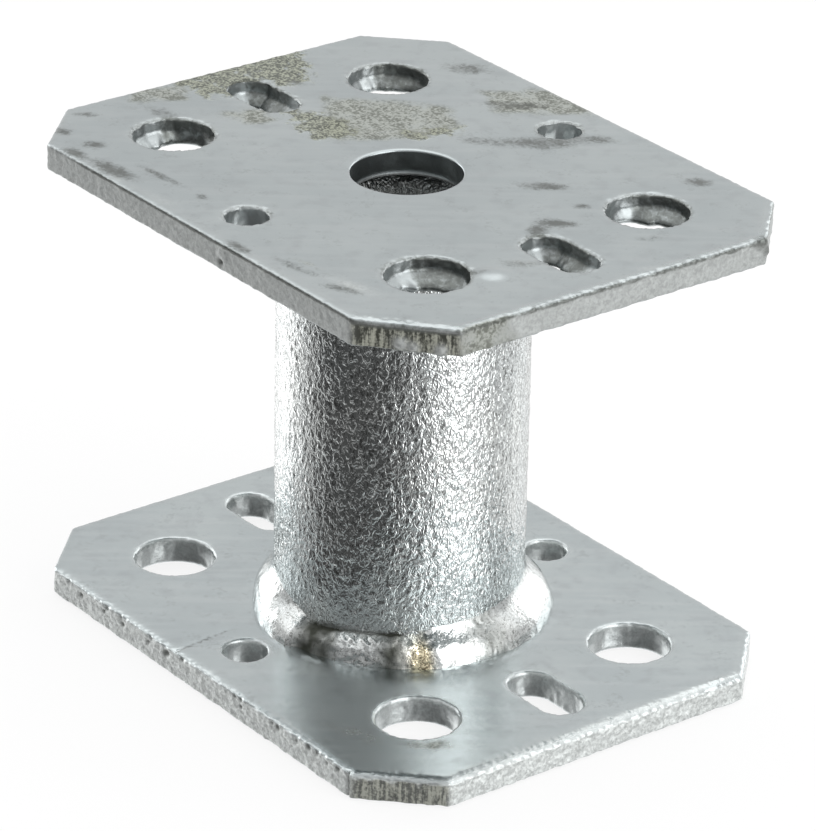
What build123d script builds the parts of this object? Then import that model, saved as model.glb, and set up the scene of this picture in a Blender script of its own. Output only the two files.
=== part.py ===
"""Column base plate: two drilled steel plates joined by a short welded tube.

All sizes are in millimetres. +Z is up, +X runs along the long side of the plates, and the
origin is at the middle of the underside of the base plate.
"""
import os

from build123d import *

os.makedirs("parts", exist_ok=True)

# Overall sizes
plate_length = 130.0
plate_width = 100.0
plate_thickness = 6.0
overall_height = 100.0
corner_clip = 13.5

# Tube between the plates
tube_diameter = 50.8
tube_wall = 3.2

# Holes, the same in both plates
bolt_hole_diameter = 16.0
bolt_spacing_x = 83.0
bolt_spacing_y = 53.0
small_hole_diameter = 8.5
small_hole_spacing_y = 76.0
slot_width = 9.0
slot_length = 18.0
slot_spacing_x = 96.0
centre_hole_diameter = 22.0

# The zinc coat rounds every edge
edge_radius = 0.6
rim_radius = 0.8

# Ring welds: the bead is measured by its two legs, and its face bulges out
weld_leg_on_tube = 4.8
weld_leg_on_plate = 4.6
weld_bulge = 0.7
# Each weld is laid in three runs round the tube. The front run is the thin one.
thin_run_share = 0.8
run_overlap = 5.0
thin_run_start = -84.0
thin_run_sweep = 60.0
right_run_sweep = 150.0

tube_radius = tube_diameter / 2
tube_length = overall_height - 2 * plate_thickness
top_plate_base = overall_height - plate_thickness


def drilled_plate(underside):
    """A sheared plate with clipped corners and punched holes, its underside at this height."""
    with BuildPart() as plate:
        with BuildSketch(Plane.XY.offset(underside)) as outline:
            Rectangle(plate_length, plate_width)
            chamfer(outline.vertices(), corner_clip)
            with GridLocations(bolt_spacing_x, bolt_spacing_y, 2, 2):
                Circle(bolt_hole_diameter / 2, mode=Mode.SUBTRACT)
            with GridLocations(0, small_hole_spacing_y, 1, 2):
                Circle(small_hole_diameter / 2, mode=Mode.SUBTRACT)
            with GridLocations(slot_spacing_x, 0, 2, 1):
                SlotOverall(slot_length, slot_width, mode=Mode.SUBTRACT)
            Circle(centre_hole_diameter / 2, mode=Mode.SUBTRACT)
        extrude(amount=plate_thickness)
        fillet(arrises(plate, Face.outer_wire), edge_radius)
        fillet(arrises(plate, Face.inner_wires), rim_radius)
    return plate


def arrises(plate, wires_of):
    """The edges where the plate's two flat faces meet its sides or its holes."""
    edges = ShapeList()
    for face in plate.faces().filter_by(Axis.Z):
        wires = wires_of(face)
        for wire in [wires] if isinstance(wires, Wire) else wires:
            edges.extend(wire.edges())
    return edges


def radial_plane(angle, height, upward):
    """A plane through the tube's axis: its x points outwards and its y points along the tube."""
    outwards = Vector(1, 0, 0).rotate(Axis.Z, angle)
    along = Vector(0, 0, upward)
    return Plane(origin=(0, 0, height), x_dir=outwards, z_dir=outwards.cross(along))


def ring_weld(plate_face, upward):
    """Three runs of weld in the corner between a plate's face and the tube's wall."""
    right_run_start = thin_run_start + thin_run_sweep
    left_run_start = right_run_start + right_run_sweep
    left_run_sweep = 360.0 - thin_run_sweep - right_run_sweep
    runs = (
        (thin_run_start, thin_run_sweep, thin_run_share),
        (right_run_start, right_run_sweep, 1.0),
        (left_run_start, left_run_sweep, 1.0),
    )
    with BuildPart() as weld:
        for start, sweep_angle, share in runs:
            leg_out = weld_leg_on_plate * share
            leg_up = weld_leg_on_tube * share
            with BuildSketch(radial_plane(start, plate_face, upward)):
                with BuildLine():
                    toe = (tube_radius + leg_out, 0)
                    crown = (tube_radius, leg_up)
                    Line((tube_radius, 0), toe)
                    ThreePointArc(toe, bulge_point(leg_out, leg_up), crown)
                    Line(crown, (tube_radius, 0))
                make_face()
            revolve(axis=Axis.Z, revolution_arc=sweep_angle + run_overlap)
    return weld


def bulge_point(leg_out, leg_up):
    """The middle of the bead's face, pushed out from the straight line between its toes."""
    slope = (leg_out**2 + leg_up**2) ** 0.5
    return (
        tube_radius + leg_out / 2 + weld_bulge * leg_up / slope,
        leg_up / 2 + weld_bulge * leg_out / slope,
    )


base_plate = drilled_plate(0)
top_plate = drilled_plate(top_plate_base)

# The tube stands on the base plate and carries the top plate, square cut at both ends
with BuildPart() as tube:
    with BuildSketch(Plane.XY.offset(plate_thickness)):
        Circle(tube_radius)
        Circle(tube_radius - tube_wall, mode=Mode.SUBTRACT)
    extrude(amount=tube_length)

lower_weld = ring_weld(plate_thickness, 1)
upper_weld = ring_weld(top_plate_base, -1)

base_plate.part.label = "base_plate"
export_step(base_plate.part, "parts/base_plate.step")

tube.part.label = "tube"
export_step(tube.part, "parts/tube.step")

top_plate.part.label = "top_plate"
export_step(top_plate.part, "parts/top_plate.step")

lower_weld.part.label = "lower_weld"
export_step(lower_weld.part, "parts/lower_weld.step")

upper_weld.part.label = "upper_weld"
export_step(upper_weld.part, "parts/upper_weld.step")
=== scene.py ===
"""The column base plate, dressed: two zinc-coated steel plates joined by a short welded tube.

Lengths are worked out in millimetres and set down in metres. +Z is up, +X runs along the long
side of the plates, and the origin is at the middle of the underside of the base plate.
"""
import math

import bmesh
import bpy
import numpy as np
from mathutils import Matrix, Vector
from mathutils.geometry import delaunay_2d_cdt


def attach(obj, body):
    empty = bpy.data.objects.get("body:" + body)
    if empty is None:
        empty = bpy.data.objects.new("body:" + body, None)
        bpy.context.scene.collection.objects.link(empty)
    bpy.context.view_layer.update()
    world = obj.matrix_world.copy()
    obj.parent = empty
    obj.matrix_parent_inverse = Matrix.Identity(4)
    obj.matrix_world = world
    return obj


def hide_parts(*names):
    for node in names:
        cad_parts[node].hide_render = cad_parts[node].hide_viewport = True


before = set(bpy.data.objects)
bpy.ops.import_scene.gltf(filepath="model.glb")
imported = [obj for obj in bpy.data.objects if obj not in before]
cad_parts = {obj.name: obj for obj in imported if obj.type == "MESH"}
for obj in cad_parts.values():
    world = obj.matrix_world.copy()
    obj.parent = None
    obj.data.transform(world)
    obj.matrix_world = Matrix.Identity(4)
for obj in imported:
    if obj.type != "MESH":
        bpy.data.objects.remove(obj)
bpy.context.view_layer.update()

# The view: a long lens, a little under a metre away, looks down over the corner where the
# front and right sides meet.
view = bpy.data.objects.new("view", bpy.data.cameras.new("view"))
view.data.lens = 206.813
view.data.sensor_width = 36.0
view_right = Vector((0.60088, 0.79914, 0.01799))
view_up = Vector((-0.35506, 0.24667, 0.90171))
view_back = Vector((0.71615, -0.54821, 0.43197))
view_place = Vector((0.68136, -0.52008, 0.45764))
view.matrix_world = Matrix(
    [[view_right[i], view_up[i], view_back[i], view_place[i]] for i in range(3)] + [[0, 0, 0, 1]]
)
bpy.context.collection.objects.link(view)
bpy.context.scene.camera = view
bpy.context.scene.view_settings.view_transform = "Standard"


# The studio: a white room behind the part, a grey one at its sides and a dim one in front,
# with a tall soft lamp at the right and a wide one overhead. The floor shows white, with the
# part's shadow on it.
class Wire:
    """A shader socket that can stand in a sum: each sign adds the node that works it out."""

    def __init__(self, socket):
        self.socket = socket
        self.tree = socket.id_data

    @classmethod
    def node(cls, tree, kind, settings=(), sockets=(), gives=0):
        made = tree.nodes.new(kind)
        for name, value in dict(settings).items():
            setattr(made, name, value)
        for name, value in dict(sockets).items():
            if isinstance(value, Wire):
                tree.links.new(value.socket, made.inputs[name])
            else:
                made.inputs[name].default_value = value
        return cls(made.outputs[gives])

    def sum(self, operation, *terms):
        kind = "ShaderNodeMath"
        if any(isinstance(t, Wire) and t.socket.type == "VECTOR" for t in terms):
            kind = "ShaderNodeVectorMath"
            terms = [
                t if isinstance(t, Wire) or hasattr(t, "__len__") else (t, t, t) for t in terms
            ]
        return Wire.node(self.tree, kind, {"operation": operation}, dict(enumerate(terms)))

    def __add__(self, other):
        return self.sum("ADD", self, other)

    def __sub__(self, other):
        return self.sum("SUBTRACT", self, other)

    def __rsub__(self, other):
        return self.sum("SUBTRACT", other, self)

    def __mul__(self, other):
        return self.sum("MULTIPLY", self, other)

    def __abs__(self):
        return self.sum("ABSOLUTE", self)

    __radd__ = __add__
    __rmul__ = __mul__

    def rise(self, low, high):
        """0 below low, 1 above high, and a smooth rise between them."""
        return Wire.node(
            self.tree, "ShaderNodeMapRange", {"interpolation_type": "SMOOTHSTEP"},
            {"Value": self, "From Min": low, "From Max": high},
        )

    def along(self, direction):
        """How far this vector reaches in a direction."""
        return Wire.node(
            self.tree, "ShaderNodeVectorMath", {"operation": "DOT_PRODUCT"},
            {0: self, 1: direction}, "Value",
        )

    def mixed(self, low, high):
        """The colour low where this is 0 and high where it is 1."""
        return Wire.node(
            self.tree, "ShaderNodeMix", {"data_type": "RGBA"}, {0: self, 6: low, 7: high}, 2
        )

    def noise(self, size, detail=3.0, twist=0.0):
        """Soft noise from 0 to 1 at this place, with lumps about size across."""
        return Wire.node(
            self.tree, "ShaderNodeTexNoise", {},
            {"Vector": self, "Scale": 1 / size, "Detail": detail, "Distortion": twist},
        )

    def drives(self, kind):
        """Ends the tree: this shader is what the surface or the room shows."""
        output = self.tree.nodes.new(kind)
        self.tree.links.new(self.socket, output.inputs["Surface"])


def grey(level):
    return (level, level, level, 1.0)


room = bpy.data.worlds.new("room")
bpy.context.scene.world = room
room.use_nodes = True
tree = room.node_tree
tree.nodes.clear()
gaze = Wire.node(tree, "ShaderNodeTexCoord", gives="Generated")
toward_back = gaze.along((-0.794, 0.608, 0.0))
to_the_right = gaze.along((0.601, 0.799, 0.0))
upward = gaze.along((0, 0, 1))
# Each is 1 in its own part of the room and 0 in the rest, with a soft border between.
sideways = toward_back.rise(-0.18, 0.12)
behind = toward_back.rise(0.34, 0.54)
on_the_right = to_the_right.rise(-0.1, 0.1)
flanks = toward_back.rise(0.32, 0.48) * abs(to_the_right).rise(0.36, 0.54)
flanks = flanks * (0.62 - upward).rise(0.0, 0.2)
above_the_floor = upward.rise(-0.1, 0.2)
# How brightly each part of the room glows, where 1 is white. The zinc mirrors it.
dim_front = 0.075
side_walls = sideways * (0.495 + 0.06 * on_the_right)
back_wall = behind * 0.33
flank_panels = flanks * (
    1.2 - 0.85 * on_the_right + (0.8 + 0.5 * on_the_right) * above_the_floor
)
ceiling = upward.rise(0.4, 0.75) * (0.78 - 0.56 * behind)
front_panel = upward.rise(-0.12, 0.15) * upward.rise(0.62, 0.42) * (0.34 - 0.34 * sideways)
right_panel = to_the_right.rise(-0.1, 0.4) * (0.4 - 0.4 * sideways)
ground = (-1 * upward).rise(0.5, 0.8) * (0.35 + 0.5 * sideways)
glow = (
    dim_front + side_walls + back_wall + flank_panels
    + ceiling + front_panel + right_panel + ground
)
seen = Wire.node(tree, "ShaderNodeLightPath", gives="Is Camera Ray")
white_room = Wire.node(tree, "ShaderNodeBackground", {}, {"Color": grey(1.0), "Strength": 1.0})
lit_room = Wire.node(tree, "ShaderNodeBackground", {}, {"Color": grey(1.0), "Strength": glow})
shown_room = Wire.node(tree, "ShaderNodeMixShader", {}, {0: seen, 1: lit_room, 2: white_room})
shown_room.drives("ShaderNodeOutputWorld")


def soft_lamp(name, turn, height_angle, distance, width, height, glow_level):
    """A soft lamp turned right from the viewer, glowing evenly, where a glow of 1 is white."""
    viewer_turn = 52.6
    a, e = math.radians(viewer_turn + turn), math.radians(height_angle)
    flat = distance * math.cos(e)
    middle = Vector((0, 0, 0.05))
    place = middle + Vector((flat * math.sin(a), -flat * math.cos(a), distance * math.sin(e)))
    lamp = bpy.data.objects.new(name, bpy.data.lights.new(name, "AREA"))
    lamp.data.shape = "RECTANGLE"
    lamp.data.size, lamp.data.size_y = width, height
    lamp.data.energy = glow_level * math.pi * width * height
    lamp.location = place
    lamp.rotation_euler = (middle - place).to_track_quat("-Z", "Y").to_euler()
    lamp.visible_camera = False
    bpy.context.collection.objects.link(lamp)


soft_lamp(
    "right_lamp", turn=53, height_angle=14, distance=1.0, width=0.74, height=1.9, glow_level=2.15
)
soft_lamp(
    "top_lamp", turn=180, height_angle=66, distance=1.1, width=1.3, height=0.9, glow_level=0.8
)

floor_reach, floor_gap = 1.5, 0.0002
floor_mesh = bpy.data.meshes.new("floor")
floor_corners = ((-1, -1), (1, -1), (1, 1), (-1, 1))
floor_mesh.from_pydata(
    [(x * floor_reach, y * floor_reach, -floor_gap) for x, y in floor_corners],
    [], [(0, 1, 2, 3)],
)
floor = bpy.data.objects.new("floor", floor_mesh)
bpy.context.collection.objects.link(floor)
floor.visible_glossy = False
floor_paint = bpy.data.materials.new("floor_paint")
floor_paint.use_nodes = True
tree = floor_paint.node_tree
tree.nodes.clear()
seen = Wire.node(tree, "ShaderNodeLightPath", gives="Is Camera Ray")
matt = Wire.node(tree, "ShaderNodeBsdfDiffuse", {}, {"Color": grey(0.8)})
white = Wire.node(tree, "ShaderNodeEmission", {}, {"Color": grey(1.0), "Strength": 1.0})
shown_white = 0.85
painted = Wire.node(tree, "ShaderNodeMixShader", {}, {0: seen * shown_white, 1: matt, 2: white})
painted.drives("ShaderNodeOutputMaterial")
floor_mesh.materials.append(floor_paint)


# The base plate: 6 mm steel with sheared sides, clipped corners and punched holes, dipped in
# zinc. The zinc softens its edges, mirrors the tube near the weld, and lies rough and pitted
# along the sheared sides.
lattice = np.random.default_rng(3).normal(size=(64, 64, 64, 3))
lattice /= np.linalg.norm(lattice, axis=3)[..., None]


def ripple(points, size, octaves=1, seed=0.0):
    """Soft noise, about -1 to 1, at points in millimetres, with lumps about size across."""
    p = points / np.asarray(size, float) + 7.31 * seed
    total, share = np.zeros(len(p)), 1.6
    for _ in range(octaves):
        cell = np.floor(p).astype(int)
        part = p - cell
        ease = part ** 3 * (part * (part * 6 - 15) + 10)
        for corner in np.ndindex(2, 2, 2):
            slope = lattice[tuple(((cell + corner) % 64).T)]
            weight = np.where(corner, ease, 1 - ease).prod(1)
            total += share * weight * ((part - corner) * slope).sum(1)
        p, share = p * 2.03 + 3.7, share / 2
    return total


def step(value, low, high):
    """0 below low, 1 above high, and a smooth rise between them."""
    t = np.clip((value - low) / (high - low), 0, 1)
    return t * t * (3 - 2 * t)


def mound(points, middle, radii, turn=0.0):
    """1 at middle, falling to 0 about radii away, on plan; turn is in degrees."""
    x, y = points[:, 0] - middle[0], points[:, 1] - middle[1]
    c, s = math.cos(math.radians(turn)), math.sin(math.radians(turn))
    u, v = (x * c + y * s) / radii[0], (-x * s + y * c) / radii[1]
    return np.exp(-1.5 * (u * u + v * v))


def ball(points, middle, radius):
    """1 at middle, falling to 0 about radius away in every direction."""
    far = np.linalg.norm(points - np.array(middle), axis=1)
    return np.exp(-1.5 * (far / radius) ** 2)


def bell(offset, width):
    """1 where offset is 0, falling to 0 on both sides of it over about width."""
    return np.exp(-(offset / width) ** 2)


def patch(points, corners, soft):
    """1 inside a shape on plan, 0 outside, with an edge soft millimetres wide."""
    x, y = points[:, 0], points[:, 1]
    inside, far = np.zeros(len(x), bool), np.full(len(x), 1e9)
    for (ax, ay), (bx, by) in zip(corners, corners[1:] + corners[:1]):
        dx, dy = bx - ax, by - ay
        crosses = (ay > y) != (by > y)
        inside ^= crosses & (x < dx * (y - ay) / (dy + 1e-12) + ax)
        t = np.clip(((x - ax) * dx + (y - ay) * dy) / (dx ** 2 + dy ** 2), 0, 1)
        far = np.minimum(far, np.hypot(x - ax - t * dx, y - ay - t * dy))
    return step(np.where(inside, far, -far), -soft / 2, soft / 2)


half_long, half_wide, clip, thick = 65.0, 50.0, 13.5, 6.0
diagonal = math.sqrt(0.5)
clip_reach = (half_long + half_wide - clip) * diagonal
# The eight sides, anticlockwise from the front: which way each faces, and how far out it is.
FRONT, NEAR_CLIP, RIGHT, RIGHT_CLIP, BACK, FAR_CLIP, LEFT, LEFT_CLIP = range(8)
SIDE_OUT = np.array([
    (0, -1), (diagonal, -diagonal), (1, 0), (diagonal, diagonal),
    (0, 1), (-diagonal, diagonal), (-1, 0), (-diagonal, -diagonal),
])
SIDE_REACH = np.array([half_wide, clip_reach, half_long, clip_reach] * 2)
bolt_x, bolt_y, bolt_radius = 41.5, 26.5, 8.0
slot_x, slot_radius, slot_half_run = 48.0, 4.5, 4.5
small_y, small_radius = 38.0, 4.25
centre_radius = 11.0
# Each hole: its middle, its radius, and how far a slot runs straight on either side.
HOLES = [((x, y), bolt_radius, 0.0) for x in (-bolt_x, bolt_x) for y in (-bolt_y, bolt_y)]
HOLES += [((x, 0.0), slot_radius, slot_half_run) for x in (-slot_x, slot_x)]
HOLES += [((0.0, y), small_radius, 0.0) for y in (-small_y, small_y)]
HOLES += [((0.0, 0.0), centre_radius, 0.0)]
(BOLT_LEFT, BOLT_FAR, BOLT_NEAR, BOLT_RIGHT, SLOT_LEFT, SLOT_RIGHT,
 SMALL_FRONT, SMALL_BACK, CENTRE) = range(9)
# The strip over each edge: the radius of the outer edge and of the holes' rims, how far the
# strip reaches in over the faces, and its spacing along the sides and round the holes.
edge_radius, rim_radius, strip_width = 0.6, 0.8, 2.7
side_spacing, hole_spacing = 0.4, 0.45
# The faces between the strips: the spacing of the points on the top and on the underside, the
# step between their rows, how far they are scattered and how far they keep off a strip.
top_spacing, under_spacing = 0.95, 1.9
row_step, scatter, clearance = 0.866, 0.16, 0.55


def plan_corners(sides, inset):
    """The eight corners of the outline, drawn in by inset."""
    out, reach = sides[0], sides[1] - inset
    return np.array([np.linalg.solve(out[[k - 1, k]], reach[[k - 1, k]]) for k in range(8)])


def plan_outline(sides, inset, counts):
    """The plate's outline, drawn in by inset: counts points along each of the eight sides."""
    corners = plan_corners(sides, inset)
    points = np.concatenate([
        corners[k] + (corners[(k + 1) % 8] - corners[k]) * np.arange(n)[:, None] / n
        for k, n in enumerate(counts)
    ])
    for _ in range(2):
        points = (np.roll(points, 1, 0) + points * 2 + np.roll(points, -1, 0)) / 4
    return points


def plan_hole(middle, radius, half_run, inset, count):
    """A round hole's or slot's outline, drawn into the steel by inset."""
    r = radius + inset
    bow = math.pi * radius
    points = []
    for t in np.arange(count) / count * (2 * bow + 4 * half_run):
        if t < bow:
            a = -math.pi / 2 + t / radius
            points.append((half_run + r * math.cos(a), r * math.sin(a)))
        elif t < bow + 2 * half_run:
            points.append((half_run - (t - bow), r))
        elif t < 2 * bow + 2 * half_run:
            a = math.pi / 2 + (t - bow - 2 * half_run) / radius
            points.append((-half_run + r * math.cos(a), r * math.sin(a)))
        else:
            points.append((-half_run + (t - 2 * bow - 2 * half_run), -r))
    return np.array(points) + np.array(middle)


def near_sides(points, sides, sharpness=0.9):
    """How far in from the nearest side each point is, and its share in each of the eight."""
    gaps = sides[1] - points[:, :2] @ sides[0].T
    share = np.exp(-gaps / sharpness)
    return gaps.min(1), share / share.sum(1)[:, None]


def near_hole(points):
    """How far from the nearest hole each point is, which hole that is, and the turn round it."""
    gaps, turns = [], []
    for (cx, cy), radius, half_run in HOLES:
        x, y = points[:, 0] - cx, points[:, 1] - cy
        gaps.append(np.hypot(np.maximum(np.abs(x) - half_run, 0), y) - radius)
        turns.append(np.degrees(np.arctan2(y, x)))
    which = np.argmin(gaps, 0)
    rows = np.arange(len(points))
    return np.array(gaps)[which, rows], which, np.array(turns)[which, rows]


def edge_profile(rim, band):
    """Stations over an edge, from the top face round to the underside: inset, depth, tilt."""
    round_steps, wall_steps, crowding = 4, 13, 1.35
    stations = [(d, 0.0, 90.0) for d in np.linspace(band, rim, 6)[:-1]]
    turned = [math.radians(90.0 * k / round_steps) for k in range(round_steps + 1)]
    for a in reversed(turned):
        stations.append((rim * (1 - math.cos(a)), rim * (1 - math.sin(a)), math.degrees(a)))
    for k in range(1, wall_steps):
        stations.append((0.0, rim + (thick - 2 * rim) * (k / wall_steps) ** crowding, 0.0))
    for a in turned:
        depth = thick - rim * (1 - math.sin(a))
        stations.append((rim * (1 - math.cos(a)), depth, -math.degrees(a)))
    return stations + [(d, thick, -90.0) for d in np.linspace(rim, band, 4)[1:]]


def plate_skin(name, underside, sides, relief):
    """The whole zinc skin of a plate as one closed mesh, pushed in and out by relief."""
    top = underside + thick
    verts, outs, quads, rings, start = [], [], [], [], 0
    corners = plan_corners(sides, 0.0)
    lengths = np.linalg.norm(np.roll(corners, -1, 0) - corners, axis=1)
    counts = [round(length / side_spacing) for length in lengths]
    # A strip over the outer edge and over the rim of every hole.
    for hole in [None] + HOLES:
        stations = edge_profile(rim_radius if hole else edge_radius, strip_width)
        if hole:
            middle, radius, half_run = hole
            n = round((2 * math.pi * radius + 4 * half_run) / hole_spacing)
            level = [plan_hole(middle, radius, half_run, d, n) for d, _, _ in stations]
        else:
            n = sum(counts)
            level = [plan_outline(sides, d, counts) for d, _, _ in stations]
        upright = level[[inset for inset, _, _ in stations].index(0.0)]
        along = np.roll(upright, -1, 0) - np.roll(upright, 1, 0)
        out = np.stack([along[:, 1], -along[:, 0]], 1) * (-1 if hole else 1)
        out /= np.linalg.norm(out, axis=1)[:, None]
        for plan, (_, depth, tilt) in zip(level, stations):
            c, s = math.cos(math.radians(tilt)), math.sin(math.radians(tilt))
            verts.append(np.column_stack([plan, np.full(n, top - depth)]))
            outs.append(np.column_stack([out * c, np.full(n, s)]))
        for j in range(len(stations) - 1):
            a = start + j * n + np.arange(n)
            b = start + j * n + (np.arange(n) + 1) % n
            quads.append(np.column_stack([a, b, b + n, a + n]))
        rings.append((start, level[0], start + (len(stations) - 1) * n, level[-1]))
        start += len(stations) * n
    faces = np.concatenate(quads).tolist()
    # The two faces, filled between the strips with triangles.
    for spacing, z, up in ((top_spacing, top, 1.0), (under_spacing, underside, -1.0)):
        loops = [(a, p) if up > 0 else (b, q) for a, p, b, q in rings]
        ring_points = np.concatenate([p for _, p in loops])
        ring_index = np.concatenate([a + np.arange(len(p)) for a, p in loops])
        edges, k = [], 0
        for _, p in loops:
            edges += [(k + i, k + (i + 1) % len(p)) for i in range(len(p))]
            k += len(p)
        grid = np.array([
            (x + (spacing / 2 if j % 2 else 0), y)
            for j, y in enumerate(np.arange(-half_wide, half_wide, spacing * row_step))
            for x in np.arange(-half_long, half_long, spacing)
        ])
        grid += np.random.default_rng(7).uniform(-scatter, scatter, grid.shape) * spacing
        clear = strip_width + spacing * clearance
        inner = grid[(near_sides(grid, sides)[0] > clear) & (near_hole(grid)[0] > clear)]
        index = np.concatenate([ring_index, start + np.arange(len(inner))])
        plan = np.concatenate([ring_points, inner])
        met = delaunay_2d_cdt([Vector(p) for p in plan.tolist()], edges, [], 0, 1e-5)
        home = np.array([index[o[0]] for o in met[3]])
        met_points = np.array([(v[0], v[1]) for v in met[0]])
        triples = np.array(met[2])
        centres = met_points[triples].mean(1)
        inside = strip_width + 0.02
        keep = (near_sides(centres, sides)[0] > inside) & (near_hole(centres)[0] > inside)
        faces += home[triples[keep]].tolist()
        verts.append(np.column_stack([inner, np.full(len(inner), z)]))
        outs.append(np.tile((0.0, 0.0, up), (len(inner), 1)))
        start += len(inner)
    points, out = np.concatenate(verts), np.concatenate(outs)
    moved, marks = relief(points, out)
    moved[:, 0] = np.clip(moved[:, 0], -half_long, half_long)
    moved[:, 1] = np.clip(moved[:, 1], -half_wide, half_wide)
    return mesh_piece(name, moved, faces, marks)


def mesh_piece(name, points, faces, marks):
    """A smooth mesh object from points in millimetres, with its marks as attributes."""
    mesh = bpy.data.meshes.new(name)
    mesh.from_pydata((np.asarray(points) / 1000).tolist(), [], faces)
    for mark, values in marks.items():
        mesh.attributes.new(mark, "FLOAT", "POINT").data.foreach_set(
            "value", np.clip(values, 0, 1).astype(np.float32)
        )
    mesh.validate()
    solid = bmesh.new()
    solid.from_mesh(mesh)
    bmesh.ops.recalc_face_normals(solid, faces=solid.faces)
    solid.to_mesh(mesh)
    solid.free()
    mesh.shade_smooth()
    piece = bpy.data.objects.new(name, mesh)
    bpy.context.collection.objects.link(piece)
    return piece


def sheared(points, out, top, sides, worn):
    """The wear that both plates share: rolled-over edges, lumpy sides, soft uneven hole rims."""
    inset, share = near_sides(points, sides)
    hole_gap, hole, _ = near_hole(points)
    punched = hole != CENTRE
    depth = top - points[:, 2]
    edge = step(inset, 1.5, 0.1)
    upright = 1 - np.abs(out[:, 2])
    face_up = step(out[:, 2], 0.2, 0.9)
    arris = bell(np.hypot(inset, depth), 0.8)
    foot = bell(np.hypot(inset, thick - depth), 0.9)
    beaten_and_sheen = bell(inset - 1.4, 1.1) * face_up
    # The skin starts a little inside the nominal size, and its lumps come out to about that.
    rise = (
        -0.12 - 0.1 * edge
        + worn["wave"] * ripple(points, 11.0, 2, 2) + 0.006 * ripple(points, 2.6, 1, 3)
    )
    rise += edge * upright * (share @ worn["side"]) * ripple(points, (1.5, 1.5, 1.3), 2, 1)
    rise += arris * (share @ worn["bead"]) * (0.15 + ripple(points, 1.1, 2, 4))
    rise += beaten_and_sheen * (share @ worn["beaten_and_sheen"]) * (ripple(points, 0.9, 2, 8) - 0.2)
    rise += foot * 0.16 * ripple(points, 2.0, 2, 5)
    wall = (1 - edge) * upright * punched
    uneven = (wall + 0.3 * (1 - edge) * upright) * worn["wall"]
    rise += uneven * ripple(points, (1.7, 1.7, 2.8), 2, 6)
    rim = bell(np.hypot(hole_gap, depth), 1.1) * punched
    rise += rim * worn["rim"] * (ripple(points, 1.1, 2, 7) - 0.1)
    crumpled = bell(hole_gap, 1.7) * face_up * punched
    crumpled *= step(ripple(points, 6.0, 1, 9), -0.2, 0.4)
    rise += crumpled * worn["crumple"] * ripple(points, 1.2, 2, 10)
    moved = points + out * rise[:, None]
    rolled = (share @ worn["roll"]) * step(inset, 3.0, -1.2) ** 2 * 2.2
    rolled += worn["hole_roll"] * step(hole_gap, 1.8, -0.6) ** 2 * punched
    moved[:, 2] -= rolled * np.clip(1 - depth / thick, 0, 1)
    return moved, inset, share, depth, upright, face_up, rim, wall, beaten_and_sheen, edge


base_sides = (SIDE_OUT, SIDE_REACH)
# How far each kind of wear goes, in millimetres: at each of the eight sides, then at the holes.
base_worn = {
    "roll": np.array([0.25, 0.5, 0.6, 0.4, 0.2, 0.2, 0.2, 0.2]),
    "side": np.array([0.13, 0.16, 0.24, 0.16, 0.1, 0.1, 0.1, 0.08]),
    "bead": np.array([0.24, 0.16, 0.3, 0.2, 0.12, 0.1, 0.1, 0.08]),
    "beaten_and_sheen": np.array([0.04, 0.1, 0.2, 0.06, 0.03, 0.03, 0.03, 0.03]),
    "wall": 0.12, "rim": 0.15, "hole_roll": 0.15, "crumple": 0.05, "wave": 0.035,
}


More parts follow.
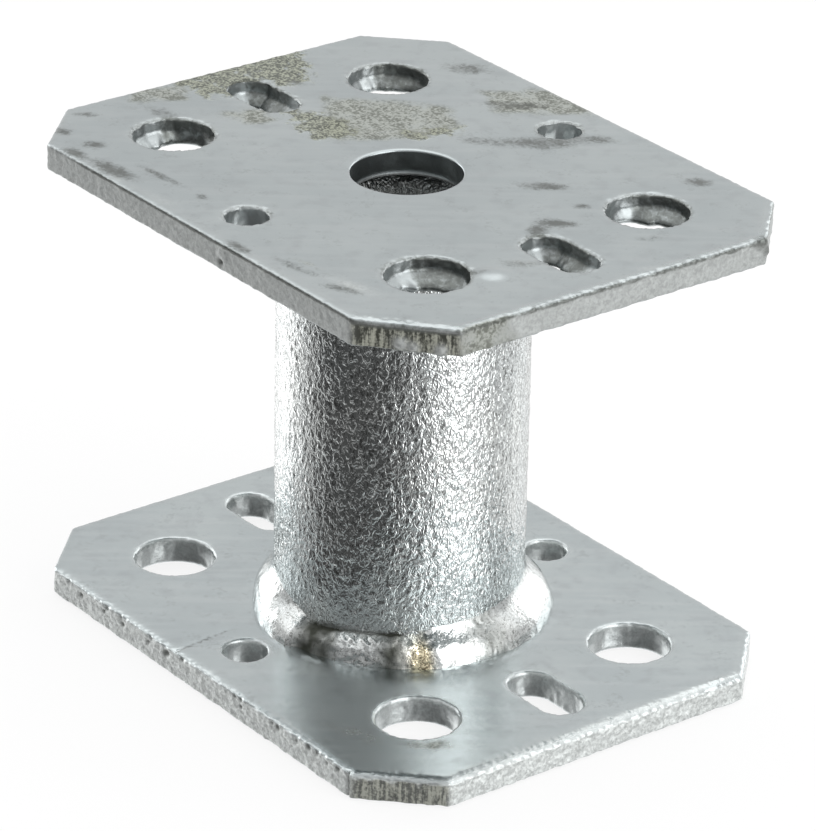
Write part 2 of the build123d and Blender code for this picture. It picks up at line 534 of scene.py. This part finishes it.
def base_relief(points, out):
    moved, inset, share, depth, upright, face_up, rim, wall, beaten_and_sheen, edge = sheared(
        points, out, thick, base_sides, base_worn
    )
    x, y, _ = points.T
    # Pits along the front's top edge, a slit beside the near clip, and a scratch on the face.
    pits = np.zeros(len(points))
    rng = np.random.default_rng(12)
    spots = [
        (-32.0, 5.2), (-16.0, 5.4), (25.5, 5.1), (33.5, 4.9),
        (43.5, 4.6), (47.0, 4.9), (-60.0, 5.2),
    ]
    spots += [(rng.uniform(-52, 48), rng.uniform(3.6, 5.6)) for _ in range(16)]
    for px, pz in spots:
        pits += ball(points, (px, -half_wide + 0.1, pz), rng.uniform(0.55, 0.95))
    pits = np.clip(pits, 0, 1) * edge
    slit = bell(x - 50.6, 0.28) * step(y, -48.6, -49.6)
    scratch = bell(x + 8.2 + 0.1 * (y + 42), 0.45) * step(y, -34.5, -36.5) * face_up
    # A broken ridge where zinc ran out round the weld, and a lip at the right side.
    turn = np.degrees(np.arctan2(y, x))
    puddle = 31.2 + 0.5 * np.sin(np.radians(turn * 2 + 40)) + 0.5 * ripple(points, 5.0, 2, 19)
    ridge = bell(np.hypot(x, y) - puddle, 0.45) * face_up
    ridge *= step(ripple(points, 5.0, 1, 20), -0.4, 0.3)
    lip = ball(points, (64.6, 31.0, 5.6), 3.4) * (inset < 2.2)
    rise = -0.42 * pits - 0.5 * slit - 0.18 * scratch + 0.26 * ridge + 0.3 * lip
    moved += out * rise[:, None]
    clip_face = near_sides(points, base_sides, 0.25)[1][:, NEAR_CLIP]
    torn = step(depth + 1.2 * ripple(points, 2.6, 2, 18), 0.5, 1.2)
    # A band along the right side's edge, painted lighter as a highlight.
    right_band_painted_light = share[:, RIGHT] * step(inset, 3.2, 0.6) * (1 - 0.8 * step(y, 22, 30))
    film = 0.5 * mound(points, (51.5, -31), (7, 3.2), 52)
    film += 0.4 * mound(points, (40, -40), (9, 4), 20)
    speck = 0.5 * mound(points, (37.6, -0.7), (1.6, 1.2))
    beaten_and_sheen_sides = np.array([0.2, 0.3, 1.0, 0.4, 0, 0, 0, 0])
    # The dark mark holds painted shade in the pits, the slit and the scratch, and a real dark
    # speck.
    marks = {
        "raw": edge * upright + 0.25 * rim + 0.45 * wall + 0.4 * right_band_painted_light,
        "sheared": 0.85 * clip_face * edge * upright * torn,
        "crust": np.zeros(len(points)),
        "film": film,
        "soot_and_shade": pits * 0.9 + slit + scratch * 0.5 + speck,
        "beaten_and_sheen": beaten_and_sheen * (share @ beaten_and_sheen_sides),
    }
    return moved, marks


def mark(tree, name):
    """How strong a mark of the mesh is at each place."""
    return Wire.node(tree, "ShaderNodeAttribute", {"attribute_name": name}, gives="Fac")


def shade(red, green, blue, strength=1.0):
    return (red * strength, green * strength, blue * strength, 1.0)


def plate_zinc(name, gloss, pale, side_tone_and_painted_light, side_lumps):
    """Dull satin zinc with faint streaks; raw edges, crust, film, soot and painted shade are laid
    over it, and the beaten bands are painted lighter as a highlight.

    gloss is its least roughness, pale and side_tone_and_painted_light set how light the faces and
    the sheared sides are (on the base plate the sides are lifted as painted light standing in for
    light off the floor), and side_lumps how lumpy those sides look.
    """
    coat = bpy.data.materials.new(name)
    coat.use_nodes = True
    tree = coat.node_tree
    tree.nodes.clear()
    place = Wire.node(tree, "ShaderNodeTexCoord", gives="Object") * (1000, 1000, 1000)
    drawn = Wire.node(tree, "ShaderNodeCombineXYZ", {}, {
        0: place.along((0.6, 0.8, 0.0)) * 0.11,
        1: place.along((-0.8, 0.6, 0.0)),
        2: place.along((0, 0, 1)),
    })
    cloud = place.noise(24.0, 5.0)
    mottle = place.noise(4.0, 5.0)
    streak = drawn.noise(2.2, 4.0)
    grain = place.noise(1.7, 4.0, 0.4)
    fine = place.noise(0.5, 3.0)
    grit = place.noise(2.6, 6.0, 0.6)
    clot = place.noise(1.0, 5.0, 0.8)
    upright = Wire.node(tree, "ShaderNodeCombineXYZ", {}, {
        0: place.along((0.707, 0.707, 0.0)),
        1: place.along((0.707, -0.707, 0.0)),
        2: place.along((0, 0, 1)) * 0.12,
    }).noise(0.6, 3.0)
    raw, clipped, beaten_and_sheen = mark(tree, "raw"), mark(tree, "sheared"), mark(tree, "beaten_and_sheen")
    stuck, fogged, soot_and_shade_mark = mark(tree, "crust"), mark(tree, "film"), mark(tree, "soot_and_shade")
    crust = stuck.rise(0.02, 0.3) * (stuck + grit * 2.8 - 1.4).rise(0.1, 0.8)
    haze = place.noise(5.0, 3.0)
    film = fogged.rise(0.02, 0.5) * (fogged * 1.2 + haze * 1.6 - 0.95).rise(0.0, 0.8)
    soot_and_shade = soot_and_shade_mark.rise(0.03, 0.4) * (soot_and_shade_mark + haze * 0.8 + clot * 1.2 - 0.95).rise(0.1, 1.0)
    colour = cloud.rise(0.35, 0.65).mixed(
        shade(0.4, 0.438, 0.446, pale), shade(0.435, 0.472, 0.477, pale)
    )
    colour = (mottle.rise(0.52, 0.3) * 0.4).mixed(colour, shade(0.345, 0.37, 0.38, pale))
    colour = (streak.rise(0.42, 0.68) * 0.28).mixed(colour, shade(0.49, 0.52, 0.525, pale))
    # The sheared sides' colour; on the base plate it is lifted as painted light, standing in for
    # light off the floor.
    low, high = side_tone_and_painted_light * (0.47 - 0.15 * side_lumps), side_tone_and_painted_light * (0.47 + 0.12 * side_lumps)
    shorn = (clot * 0.6 + fine * 0.6 - 0.1).rise(0.34, 0.66)
    shorn = shorn.mixed(shade(0.96, 1.0, 0.985, low), shade(0.96, 1.0, 0.985, high))
    colour = raw.mixed(colour, shorn)
    # The beaten bands along the edges are painted lighter: a painted highlight where the rolled
    # edge catches light, over real hammering.
    colour = (beaten_and_sheen * 0.3).mixed(colour, (0.62, 0.645, 0.63, 1))
    flecks = (clot * 0.6 + haze * 0.5 - 0.05).rise(0.56, 0.66)
    colour = (flecks * 0.3).mixed(colour, shade(0.27, 0.29, 0.29, pale))
    fog = (clot * 0.5 + fine * 0.5 + haze * 0.3 - 0.15).rise(0.42, 0.6)
    fog = fog.mixed((0.33, 0.345, 0.315, 1), (0.11, 0.117, 0.095, 1))
    colour = (film * 0.9).mixed(colour, fog)
    torn = (upright * 0.8 + fine * 0.4 - 0.1).rise(0.4, 0.62)
    torn = torn.mixed((0.04, 0.042, 0.032, 1), (0.32, 0.325, 0.275, 1))
    colour = clipped.mixed(colour, torn)
    crusted = (clot * 0.5 + fine * 0.7 - 0.1).rise(0.42, 0.6)
    crusted = crusted.mixed((0.05, 0.054, 0.038, 1), (0.27, 0.282, 0.22, 1))
    colour = (crust * 0.92).mixed(colour, crusted)
    # The dark mark: real soot smears in places, and painted shade in pits, grooves, slits, a
    # scratch and the far walls of holes.
    colour = (soot_and_shade * 0.8).mixed(colour, (0.07, 0.075, 0.066, 1))
    rough = gloss + 0.06 * cloud + 0.25 * raw + 0.1 * clipped + 0.35 * crust
    rough = rough + 0.15 * film - 0.06 * beaten_and_sheen
    # Heights are in millimetres, and the bump node takes them down to metres.
    lumpy = raw * side_lumps
    height = fine * (0.003 + 0.05 * lumpy + 0.05 * crust + 0.02 * film + 0.03 * beaten_and_sheen)
    height = height + clot * (0.14 * lumpy + 0.16 * crust + 0.04 * film + 0.05 * beaten_and_sheen)
    height = height + grain * 0.005
    height = height + upright * clipped * 0.12
    bump = Wire.node(
        tree, "ShaderNodeBump", {}, {"Strength": 1.0, "Distance": 0.001, "Height": height}
    )
    surface = Wire.node(tree, "ShaderNodeBsdfPrincipled", {}, {
        "Base Color": colour, "Roughness": rough, "Normal": bump,
        "Metallic": 1.0 - 0.45 * raw - 0.4 * clipped - 0.85 * crust - 0.3 * film,
    })
    surface.drives("ShaderNodeOutputMaterial")
    return coat


base_skin = plate_skin("base_plate_skin", 0.0, base_sides, base_relief)
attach(base_skin, "root")
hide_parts("base_plate")
base_skin.data.materials.append(
    plate_zinc("base_plate_zinc", gloss=0.2, pale=1.05, side_tone_and_painted_light=1.29, side_lumps=0.8)
)


# The tube: a length of round steel tube stood on the base plate. Its zinc froze bright and
# wrinkled like fine leather, with the wrinkles running mostly up and down.
tube_outer, tube_inner, tube_foot, tube_head = 25.4, 22.2, 6.0, 94.0
tube_rows, bore_rows, tube_count = 212, 6, 440


def turned_piece(name, radius, height, relief):
    """A ring-shaped skin from rows of radius and height, each row going once round the axis."""
    rows, count = radius.shape
    turn = np.arange(count) / count * 2 * math.pi
    climb = np.roll(height, -1, 0) - np.roll(height, 1, 0)
    widen = np.roll(radius, -1, 0) - np.roll(radius, 1, 0)
    length = np.hypot(climb, widen)
    flat, tall = climb / length, -widen / length
    points = np.stack([radius * np.cos(turn), radius * np.sin(turn), height], 2).reshape(-1, 3)
    out = np.stack([flat * np.cos(turn), flat * np.sin(turn), tall], 2).reshape(-1, 3)
    a, b = np.arange(count), (np.arange(count) + 1) % count
    quads = np.concatenate([
        np.column_stack([j * count + a, j * count + b, k * count + b, k * count + a])
        for j, k in ((j, (j + 1) % rows) for j in range(rows))
    ])
    turns = np.tile(np.degrees(turn), (rows, 1)).reshape(-1)
    turns = (turns + 180) % 360 - 180
    rise, marks = relief(points, turns, np.repeat(np.arange(rows), count))
    return mesh_piece(name, points + out * rise[:, None], quads.tolist(), marks)


def leather(points, seed):
    """Small pillows with creases between, longer upright than across, drifting a little aside."""
    drift = np.stack([ripple(points, 11.0, 1, seed + k) for k in (1, 2, 3)], 1)
    bent = points + drift * (2.2, 2.2, 3.0)
    large = np.abs(ripple(bent, (1.15, 1.15, 2.0), 1, seed))
    small = np.abs(ripple(bent, (0.75, 0.75, 1.1), 1, seed + 5))
    return 2.4 * large + 1.0 * small - 1.0


def tube_relief(points, turns, row):
    skin = row < tube_rows
    grain = leather(points, 11.0)
    broad = ripple(points, (5.0, 5.0, 9.0), 2, 15.0)
    rise = np.where(skin, -0.1 + 0.11 * grain + 0.03 * broad, 0.0)
    # Painted shade just over the thin front of the weld, and painted shade all through the bore.
    undercut_shade = step(points[:, 2], 12.0, 10.9) * step(turns, -80, -70) * step(turns, -30, -42)
    return rise, {"soot_and_shade": undercut_shade * skin * 0.6 + 0.95 * (row > tube_rows)}


tube_radius = [tube_outer] * tube_rows + [tube_inner] * bore_rows
tube_height = [
    *np.linspace(tube_foot, tube_head, tube_rows), *np.linspace(tube_head, tube_foot, bore_rows)
]
tube_skin = turned_piece(
    "tube_skin",
    np.repeat(np.array(tube_radius)[:, None], tube_count, 1),
    np.repeat(np.array(tube_height)[:, None], tube_count, 1),
    tube_relief,
)
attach(tube_skin, "root")
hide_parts("tube")


def bright_zinc(name, gloss, tall, crinkle):
    """Bright zinc with a wrinkled skin whose creases are painted darker as shade; heat tints,
    dark spots and painted shade are laid over it.

    gloss is its least roughness, tall how much taller than wide the wrinkles are, and crinkle
    how deep they are in millimetres.
    """
    coat = bpy.data.materials.new(name)
    coat.use_nodes = True
    tree = coat.node_tree
    tree.nodes.clear()
    place = Wire.node(tree, "ShaderNodeTexCoord", gives="Object") * (1000, 1000, 1000 / tall)
    cloud = place.noise(9.0, 4.0)
    pillow = abs(place.noise(0.76, 0.3, 0.9) - 0.5)
    fine = place.noise(0.3, 1.0)
    colour = cloud.rise(0.3, 0.7).mixed((0.66, 0.69, 0.69, 1), (0.76, 0.78, 0.77, 1))
    # Painted shade in the creases between the wrinkles.
    colour = pillow.rise(0.05, 0.0).mixed(colour, (0.3, 0.31, 0.3, 1))
    tint = (mark(tree, "tinted") + cloud * 0.5 - 0.25).rise(0.1, 0.9)
    gold = pillow.rise(0.01, 0.1).mixed((0.34, 0.28, 0.18, 1), (0.97, 0.87, 0.62, 1))
    colour = tint.mixed(colour, gold)
    # The dark mark: painted shade in the tube's bore and in the gap along the weld's thin run,
    # and darker, rougher spots on the weld.
    colour = mark(tree, "soot_and_shade").mixed(colour, (0.075, 0.079, 0.066, 1))
    height = (pillow + fine * 0.05) * (crinkle + 0.12 * tint)
    bump = Wire.node(
        tree, "ShaderNodeBump", {}, {"Strength": 1.0, "Distance": 0.001, "Height": height}
    )
    surface = Wire.node(tree, "ShaderNodeBsdfPrincipled", {}, {
        "Base Color": colour, "Metallic": 1.0, "Normal": bump,
        "Roughness": gloss + 0.06 * cloud + 0.5 * mark(tree, "soot_and_shade"),
    })
    surface.drives("ShaderNodeOutputMaterial")
    return coat


tube_skin.data.materials.append(bright_zinc("tube_zinc", gloss=0.11, tall=1.6, crinkle=0.26))

# The lower weld: a ring of weld metal in the corner between tube and base plate, laid in runs.
# The fat runs meet in a thin lumpy one at the front, and zinc has flowed over them all.
weld_steps, weld_count = 26, 720
toe_sunk, heel_sunk = 0.25, 0.5
weld_turn = (np.arange(weld_count) / weld_count * 360 + 180) % 360 - 180


def round_the_ring(places, values):
    """A value for each step round the ring, passing smoothly through values at places."""
    places, values = np.array(places, float), np.array(values, float)
    return np.interp(weld_turn, places, values, period=360)


def weld_section(out_reach, up_reach, hug, bulge, skirt):
    """The bead's section at each step round, from the plate's toe to the tube's: a curve whose
    foot stands up by bulge and runs out over the plate by skirt, and whose head hugs the tube."""
    t = np.linspace(0, 1, weld_steps + 1)[:, None]
    foot, shoulder, neck, head = (1 - t) ** 3, 3 * t * (1 - t) ** 2, 3 * t * t * (1 - t), t ** 3
    flow = (1 - t) ** 11
    reach = out_reach * (foot + shoulder * (1 + 0.1 * bulge) + neck * 0.55 * (1 - hug))
    reach += flow * skirt - toe_sunk * head
    climb = up_reach * (shoulder * (0.2 + 0.33 * bulge) + neck * (1 - 0.5 * hug) + head)
    climb = climb * (1 - 0.8 * flow) - toe_sunk * flow
    buried = np.full((1, weld_count), -heel_sunk)
    return np.vstack([reach, buried]) + tube_outer, np.vstack([climb, buried])


# Places on the front of the weld, as turns in degrees from the right: a wrinkled patch in the
# thin run and its dull end, the gold heat tint's faint fringe and its middle, and a dull spot
# on the right run.
wrinkled_turn, dull_turn, fringe_turn, gold_turn, spot_turn = -54.5, -40.0, -38.0, -28.0, 3.0


def weld_relief(points, turns, row):
    lumps = ripple(points, 3.4, 2, 21.0)
    thin = step(turns, -82.5, -80) * step(turns, -18, -24)
    fine = ripple(points, 1.2, 2, 23.0)
    live = row <= weld_steps
    grain = leather(points, 11.0) * step(row, 5, 17) * (1 - thin)
    grain *= step(row, weld_steps, weld_steps - 2)
    low_lumps = lumps * step(row, weld_steps, weld_steps - 9)
    crinkled = bell(turns - wrinkled_turn, 8.0) + 0.45 * bell(turns - spot_turn, 9.0)
    rise = (0.06 + 0.09 * thin) * low_lumps + (0.02 + 0.13 * thin) * fine + 0.03 * grain
    rise += 0.26 * crinkled * ripple(points, 1.1, 2, 27.0) * step(row, weld_steps, weld_steps - 5)
    rise = np.where(live, rise * step(row, -1, 3), 0.0)
    # A shallow gap at the tube along the thin run, also painted dark as its shade.
    toe_gap_and_shade = bell(row - weld_steps + 1, 2.2) * step(turns, -79, -72) * step(turns, -28, -40)
    rise -= 0.15 * toe_gap_and_shade
    low = step(row, 24, 8) * 0.6 + 0.4
    tint = bell(turns - gold_turn, 4.6) * low + 0.25 * bell(turns - fringe_turn, 5.0)
    soot_and_shade = 0.95 * bell(turns - dull_turn, 5.5) + step(turns, -85, -79) * step(turns, -60, -68)
    soot_and_shade += 0.65 * bell(turns - spot_turn, 9.0)
    soot_and_shade = toe_gap_and_shade * 0.6 + soot_and_shade * (0.9 + 0.3 * ripple(points, 3.0, 2, 29.0))
    return rise, {"tinted": tint * live, "soot_and_shade": soot_and_shade * live}


weld_ring = 30.0 * np.column_stack([
    np.cos(np.radians(weld_turn)), np.sin(np.radians(weld_turn)), np.zeros(weld_count),
])
# The bead at places round it: how far it reaches out and climbs, how closely its head hugs the
# tube, how full its foot is, and how far zinc ran out over the plate.
lower_places = (-160, -119, -97, -84, -80.5, -56, -38, -29, -22, 0, 52, 110)
lower_reach, lower_climb = weld_section(
    round_the_ring(lower_places, (4.4, 3.9, 4.7, 5.3, 3.6, 3.8, 4.0, 4.2, 4.9, 5.0, 5.6, 4.9)),
    round_the_ring(lower_places, (8.5, 10.6, 7.2, 5.2, 3.9, 5.1, 5.4, 4.7, 6.6, 7.2, 9.0, 8.0)),
    round_the_ring(lower_places, (0.9, 0.9, 0.8, 0.5, 0.1, 0.1, 0.1, 0.1, 0.6, 0.8, 0.9, 0.9)),
    round_the_ring(lower_places, (1.0, 1.0, 1.0, 1.0, 0.9, 0.9, 0.9, 0.8, 0.9, 0.9, 1.0, 1.0)),
    0.3 + 0.5 * ripple(weld_ring, 5.0, 2, 51.0),
)
lower_weld = turned_piece("lower_weld_skin", lower_reach, thick + lower_climb, weld_relief)
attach(lower_weld, "root")
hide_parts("lower_weld")
weld_zinc = bright_zinc("weld_zinc", gloss=0.11, tall=1.0, crinkle=0.06)
lower_weld.data.materials.append(weld_zinc)

# The top plate: the same plate again on the tube's head, handled more. Its edges are rolled
# over by the shear, and weld crust and soot have stuck to its far half.
top_sides = (SIDE_OUT.copy(), SIDE_REACH.copy())
# Its near corner was clipped a little longer towards the left.
top_sides[0][NEAR_CLIP] = (0.657, -0.754)
top_sides[1][NEAR_CLIP] = 70.2
top_worn = {
    "roll": np.array([0.2, 0.38, 0.3, 0.4, 0.4, 0.4, 0.4, 0.4]),
    "side": np.array([0.08, 0.12, 0.08, 0.12, 0.08, 0.08, 0.08, 0.07]),
    "bead": np.array([0.1, 0.08, 0.46, 0.25, 0.12, 0.1, 0.12, 0.1]),
    "beaten_and_sheen": np.array([0.03, 0.2, 0.06, 0.05, 0.03, 0.03, 0.05, 0.05]),
    "wall": 0.16, "rim": 0.3, "hole_roll": 0.2, "crumple": 0.13, "wave": 0.02,
}
# Shapes on plan, corner by corner: the crust, and the thin grey film round it.
crust_patches = [
    [(-66, -11), (-53.1, -9.4), (-51.5, -4.6), (-54.5, -0.2), (-54.5, 4.8), (-49.5, 6.5),
     (-49, 12), (-53.4, 15.4), (-63.6, 20.5), (-67, 12)],
    [(-42.4, -0.5), (-37.2, 1.0), (-33.5, 3.5), (-27.5, 6.0), (-21.5, 2.6), (-22.6, -4.6),
     (-31.3, -4.0)],
    [(-14.6, 17.5), (-12.2, 23.5), (-10.2, 19.5), (-12.0, 12.5), (-14.6, 9.6), (-16.0, 12.0)],
]
film_patches = [
    [(-41.9, 9.5), (-32.8, 18.4), (-26.5, 24.8), (-19.3, 27.1), (-12.1, 21.6), (-11.7, 13.5),
     (-13.9, 7.6), (-18.3, 1.2), (-24.0, -5.5), (-30, 2), (-37.0, 6.5)],
    [(-66, -20), (-62.9, -9.2), (-54.2, -13.8), (-60.9, -24.1)],
    [(-24.9, 37.7), (-17.7, 50.3), (-1.0, 51), (-4.3, 45.2), (-14.5, 32.8)],
    [(-45, -14), (-37.5, -12), (-36, -6), (-42, -3), (-45, -8)],
]
# Smears of soot, and spots of rough zinc: the middle, how far each reaches both ways, its turn
# in degrees, and its strength.
soot_spots = [
    ((-43.9, -47.9), (4.0, 1.8), 0, 1.0), ((-45.7, -42.5), (3.4, 2.2), 50, 0.8),
    ((-32.3, -46.4), (7.5, 2.8), 5, 0.95), ((-54.8, -43.8), (3.0, 1.8), 0, 0.9),
    ((-59.6, -34.9), (3.6, 1.6), 50, 0.8), ((-24.6, -40.5), (8.0, 1.2), 5, 0.8),
    ((-12.2, -39.9), (2.0, 1.4), 0, 0.8), ((11.8, -48.0), (5.0, 1.5), 0, 0.85),
    ((3.1, 30.0), (9.0, 3.6), 52, 0.85), ((21.3, 17.6), (5.0, 2.4), 52, 1.0),
    ((32.9, 17.2), (2.4, 1.5), 52, 0.9), ((36.4, 43.6), (3.6, 2.4), 52, 0.8),
    ((36.5, 8.4), (4.6, 2.0), 45, 1.0), ((36.9, 3.2), (2.4, 3.4), 45, 0.9),
    ((47.5, -9.3), (5.0, 2.4), 52, 0.6), ((-15.0, 38.9), (8.5, 2.6), 50, 0.9),
    ((-36.5, 43.0), (7.0, 4.0), 50, 0.6), ((-50.5, 9.5), (2.6, 1.6), 0, 0.8),
    ((24.8, -44.5), (7.0, 1.6), 8, 0.65), ((-4.0, 21.5), (6.0, 3.0), 50, 0.5),
    ((37.5, -43.5), (5.0, 2.0), 20, 0.7), ((8.0, 40.5), (7.0, 3.0), 50, 0.5),
    ((-52.0, -22.0), (5.0, 3.0), 10, 0.5), ((52.0, 18.0), (4.0, 2.0), 60, 0.45),
    ((46.6, -18.0), (2.2, 1.3), 52, 0.5),
]
rough_spots = [
    ((47.5, -8.6), (5.0, 1.8), 52, 1.0), ((37.5, -41.5), (3.6, 1.5), 20, 1.0),
    ((-28.6, -48.6), (2.2, 1.4), 0, 1.0), ((62.6, 9.0), (3.2, 0.9), 70, 0.8),
    ((38.6, -40.8), (7.0, 2.6), 15, 1.0), ((-16, -47), (6.0, 1.5), 5, 0.7),
]
# Lumps of zinc that froze on its sides: the middle, the radius, and how much each stands out.
zinc_blobs = [
    ((56.5, -43.8, 95.9), 1.5, 1.0), ((58.3, -42.2, 95.4), 1.2, 0.8),
    ((62.2, -38.9, 95.3), 1.4, 0.9), ((8.9, -50, 98.0), 1.2, 0.6),
]


def top_relief(points, out):
    moved, inset, share, depth, upright, face_up, rim, wall, beaten_and_sheen, edge = sheared(
        points, out, tube_head + thick, top_sides, top_worn
    )
    x, y, _ = points.T
    hole_gap, hole, turn = near_hole(points)
    # A groove under the front's top edge, droplets and lumps of zinc, and the patches of crust.
    reach = step(x, -56, -30) * step(x, 53, 49) * (0.9 + 0.6 * ripple(points, (9, 50, 50), 2, 31))
    groove = bell(depth - 0.5, 0.28) * share[:, FRONT] * edge * np.clip(reach, 0, 1.2)
    droplet = step(np.hypot(x - 48.3, y + 16.3), 3.6, 0.8) * face_up
    pit = ball(points, (8.0, -50, 95.8), 0.9)
    blobs = sum(size * ball(points, middle, radius) for middle, radius, size in zinc_blobs)
    corner = ball(points, (64.6, 35.5, 99.0), 2.6) + ball(points, (64.8, 37.0, 97.2), 1.5)
    crust = sum(patch(points, corners, 6.0) for corners in crust_patches) * face_up
    film = sum(patch(points, corners, 8.0) for corners in film_patches) * face_up * 0.8
    soot_and_shade = sum(s * mound(points, *spot) for *spot, s in soot_spots) * face_up
    rough = sum(s * mound(points, *spot) for *spot, s in rough_spots)
    rise = -0.4 * groove + 0.5 * droplet - 0.6 * pit + 1.1 * blobs
    rise += 0.6 * corner * (0.5 + ripple(points, 1.4, 1, 36))
    rise += 0.10 * (crust + rough + 0.6 * soot_and_shade) * ripple(points, 1.3, 2, 33) * face_up
    # Zinc that hung in the foot of the holes and froze there: in which hole, the turn of its
    # middle and its spread in degrees, and how far it hangs in.
    drips = (
        (BOLT_RIGHT, 118, 62, 3.8), (BOLT_FAR, 140, 70, 2.6), (BOLT_NEAR, 140, 80, 4.8),
        (BOLT_LEFT, 192, 46, 3.2), (SLOT_LEFT, 0, 400, 3.1), (SLOT_RIGHT, 0, 400, 2.8),
    )
    in_hole = hole_gap < 0.9
    low_down = upright * step(depth, 2.6, 5.2) * (0.9 + 0.25 * ripple(points, 3.4, 1, 35))
    for number, middle, spread, amount in drips:
        off = (turn - middle + 180) % 360 - 180
        rise += amount * bell(off, spread) * (hole == number) * in_hole * low_down
    # A burr round the foot of the centre hole, and the face a little sunk inside its edges.
    burr = (hole == CENTRE) * in_hole * bell(depth - 5.5, 0.3)
    rise += 0.3 * burr
    moved += out * rise[:, None]
    moved[:, 2] -= 0.22 * face_up * step(inset, 0.0, 3.0)
    # The far walls of the bolt holes and slots are painted dark as shade, and the edges, the hole
    # rims, a line on the near clip, the pit and the corner lump are dotted darker.
    far_wall_shade = wall * (hole < SMALL_FRONT) * step(turn, 40, 70) * step(turn, 176, 156)
    clip_face = near_sides(points, top_sides, 0.25)[1][:, NEAR_CLIP]
    dotted_sides = np.array([0.2, 0.5, 0.9, 0.5, 0.3, 0.3, 0.3, 0.4])
    dotted = bell(np.hypot(inset, depth - 0.3), 0.6) * (share @ dotted_sides)
    dotted += 0.45 * rim + 0.9 * bell(depth - 1.1, 0.3) * clip_face * edge + pit + 0.6 * corner
    bare = step(depth, 0.8, 1.3) * (1 - np.clip(1.6 * blobs, 0, 1))
    film += 0.8 * share[:, RIGHT] * edge * step(y, -14, -34)
    film += 0.5 * mound(points, (25, -42), (6, 2), 8)
    beaten_and_sheen_sides = np.array([0.2, 0.4, 0.5, 0.4, 0, 0, 0, 0.2])
    # The dark mark adds painted shade in the groove under the front edge, in the pit and on the
    # far hole walls, over the real soot smears.
    marks = {
        "raw": edge * upright + 0.3 * rim + 0.2 * wall + 0.4 * rough + burr,
        "sheared": clip_face * edge * upright * bare,
        "crust": crust,
        "film": film,
        "soot_and_shade": soot_and_shade + groove * 2.0 + dotted + 0.75 * far_wall_shade,
        "beaten_and_sheen": beaten_and_sheen * (share @ beaten_and_sheen_sides),
    }
    return moved, marks


top_skin = plate_skin("top_plate_skin", tube_head, top_sides, top_relief)
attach(top_skin, "root")
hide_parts("top_plate")
top_skin.data.materials.append(
    plate_zinc("top_plate_zinc", gloss=0.27, pale=0.9, side_tone_and_painted_light=0.85, side_lumps=0.5)
)

# The upper weld: the ring of weld metal under the top plate, hidden by it from above and laid
# more evenly.
upper_places = (-150, -60, 20, 100)
upper_reach, upper_climb = weld_section(
    round_the_ring(upper_places, (4.6, 4.2, 4.9, 4.5)),
    round_the_ring(upper_places, (5.4, 4.8, 5.8, 5.2)),
    round_the_ring(upper_places, (0.3, 0.2, 0.4, 0.3)),
    round_the_ring(upper_places, (0.9, 0.8, 1.0, 0.9)),
    0.3 + 0.5 * ripple(weld_ring, 5.0, 2, 53.0),
)


def upper_relief(points, turns, row):
    live = (row > 0) & (row <= weld_steps + 1)
    return np.where(live, 0.12 * ripple(points, 3.0, 2, 41.0), 0.0), {}


upper_weld = turned_piece(
    "upper_weld_skin", upper_reach[::-1], tube_head - upper_climb[::-1], upper_relief
)
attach(upper_weld, "root")
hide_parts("upper_weld")
upper_weld.data.materials.append(weld_zinc)
